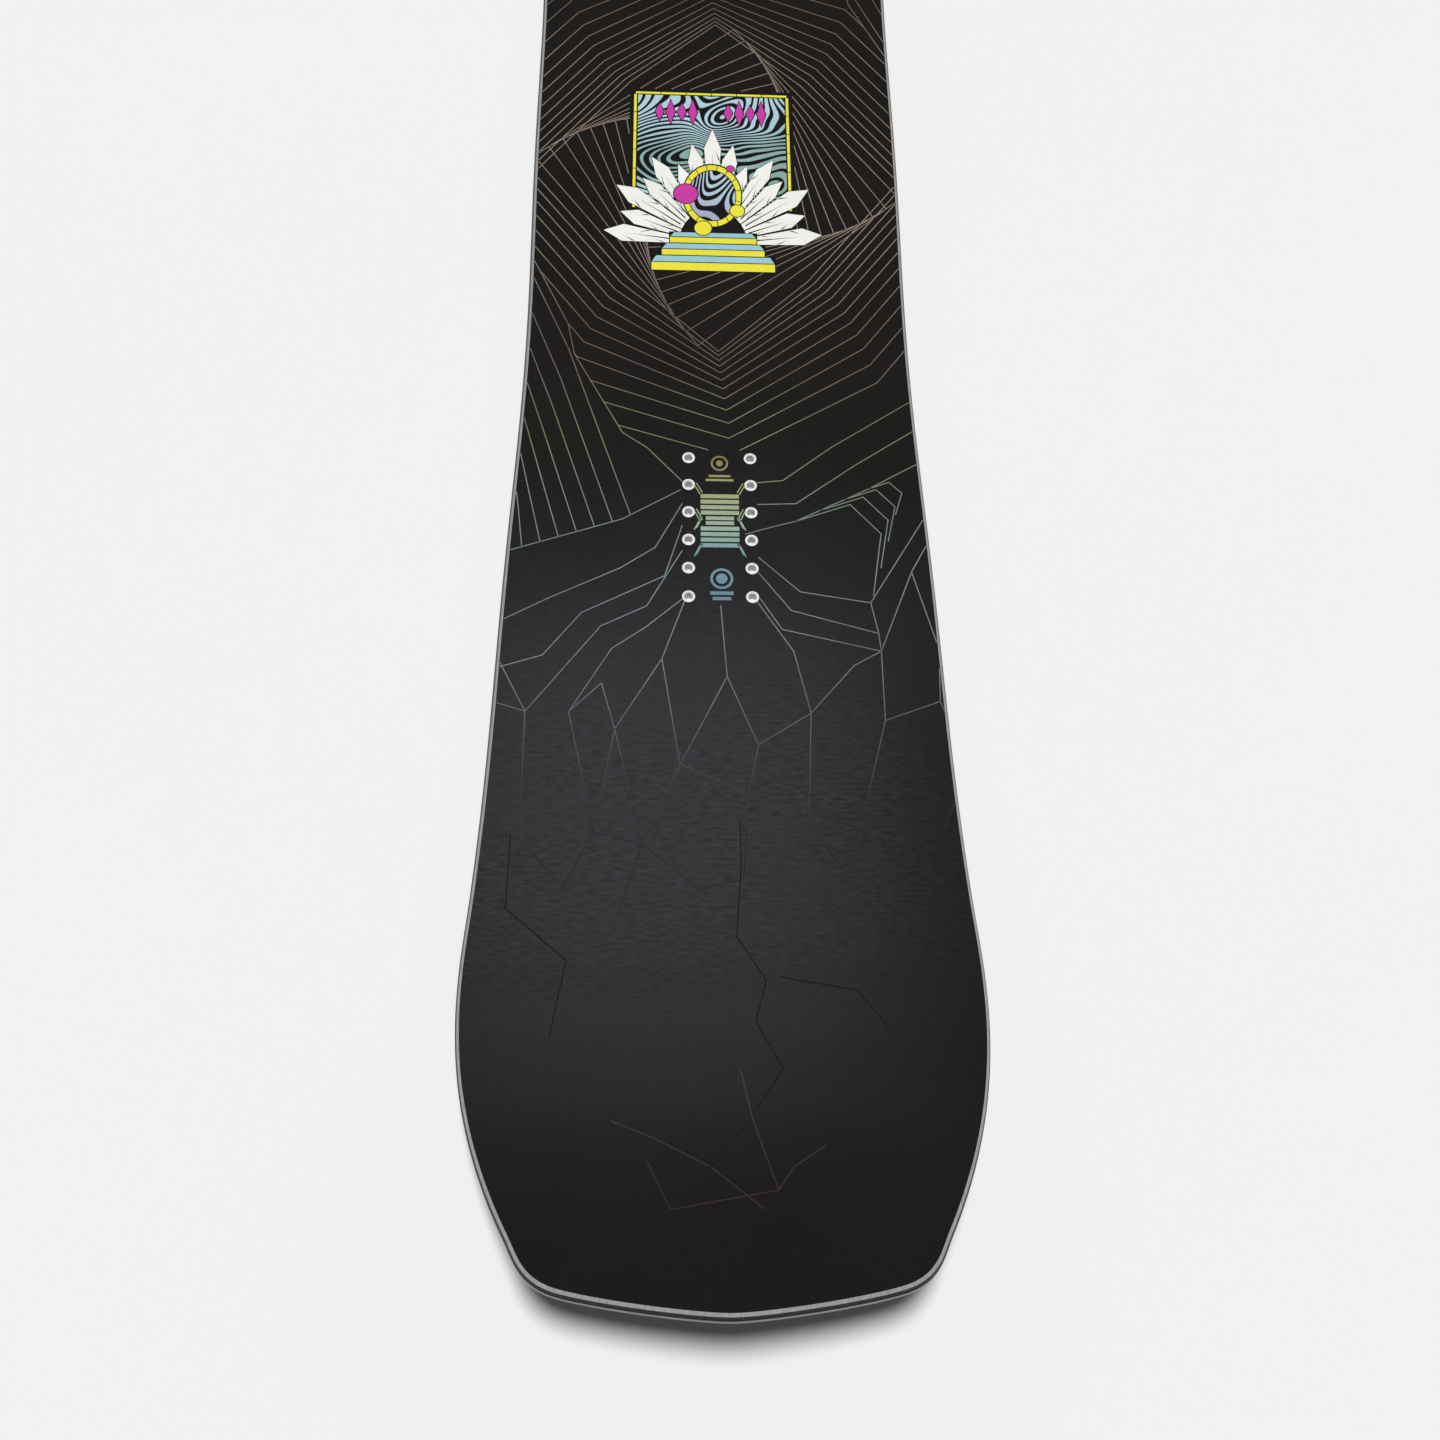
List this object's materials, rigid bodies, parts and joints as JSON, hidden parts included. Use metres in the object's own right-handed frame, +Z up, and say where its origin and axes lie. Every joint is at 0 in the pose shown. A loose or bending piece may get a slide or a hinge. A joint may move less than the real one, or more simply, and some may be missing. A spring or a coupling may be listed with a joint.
{
  "type": "snowboard",
  "caption": "Twin-tip snowboard deck with wavy grip sidecut, blunt upturned nose and tail, steel edges and threaded binding inserts, without bindings",
  "frame": {"origin": "On the ground plane under the middle of the board: halfway between the nose and tail points, on the centre line, at the height of the base's flat contact stretches.", "axes": "+Z up out of the topsheet, +Y along the board toward the tail, -Y toward the nose, +X to the right when standing behind the nose and looking toward the tail."},
  "size_m": [0.2974, 1.5264, 0.0593],
  "materials": {
    "topsheet_satin_black": "satin black topsheet with fine line art",
    "glass_fibre": "resin-bonded glass fibre, translucent grey at the cut edge",
    "poplar_stringer": "bare poplar, planed",
    "beech_stringer": "bare beech, planed",
    "sidewall_black": "black plastic sidewall, milled",
    "spacer_black": "black plastic spacer",
    "rubber_foil": "black rubber",
    "edge_steel": "ground steel",
    "base_black": "sintered running base, stone ground",
    "insert_stainless": "turned stainless steel"
  },
  "bodies": {
    "root": {"topsheet": "topsheet_satin_black", "upper_glass": "glass_fibre", "core_stringer_centre": "poplar_stringer", "core_stringer_left_1": "beech_stringer", "core_stringer_left_2": "poplar_stringer", "core_stringer_left_3": "poplar_stringer", "core_stringer_left_4": "poplar_stringer", "core_stringer_left_5": "poplar_stringer", "core_stringer_left_6": "beech_stringer", "core_stringer_right_1": "beech_stringer", "core_stringer_right_2": "poplar_stringer", "core_stringer_right_3": "poplar_stringer", "core_stringer_right_4": "poplar_stringer", "core_stringer_right_5": "poplar_stringer", "core_stringer_right_6": "beech_stringer", "left_sidewall": "sidewall_black", "right_sidewall": "sidewall_black", "nose_spacer": "spacer_black", "tail_spacer": "spacer_black", "lower_glass": "glass_fibre", "left_rubber_foil": "rubber_foil", "right_rubber_foil": "rubber_foil", "left_steel_edge": "edge_steel", "right_steel_edge": "edge_steel", "base_sheet": "base_black", "front_inserts": "insert_stainless", "rear_inserts": "insert_stainless"}
  },
  "joints": []
}
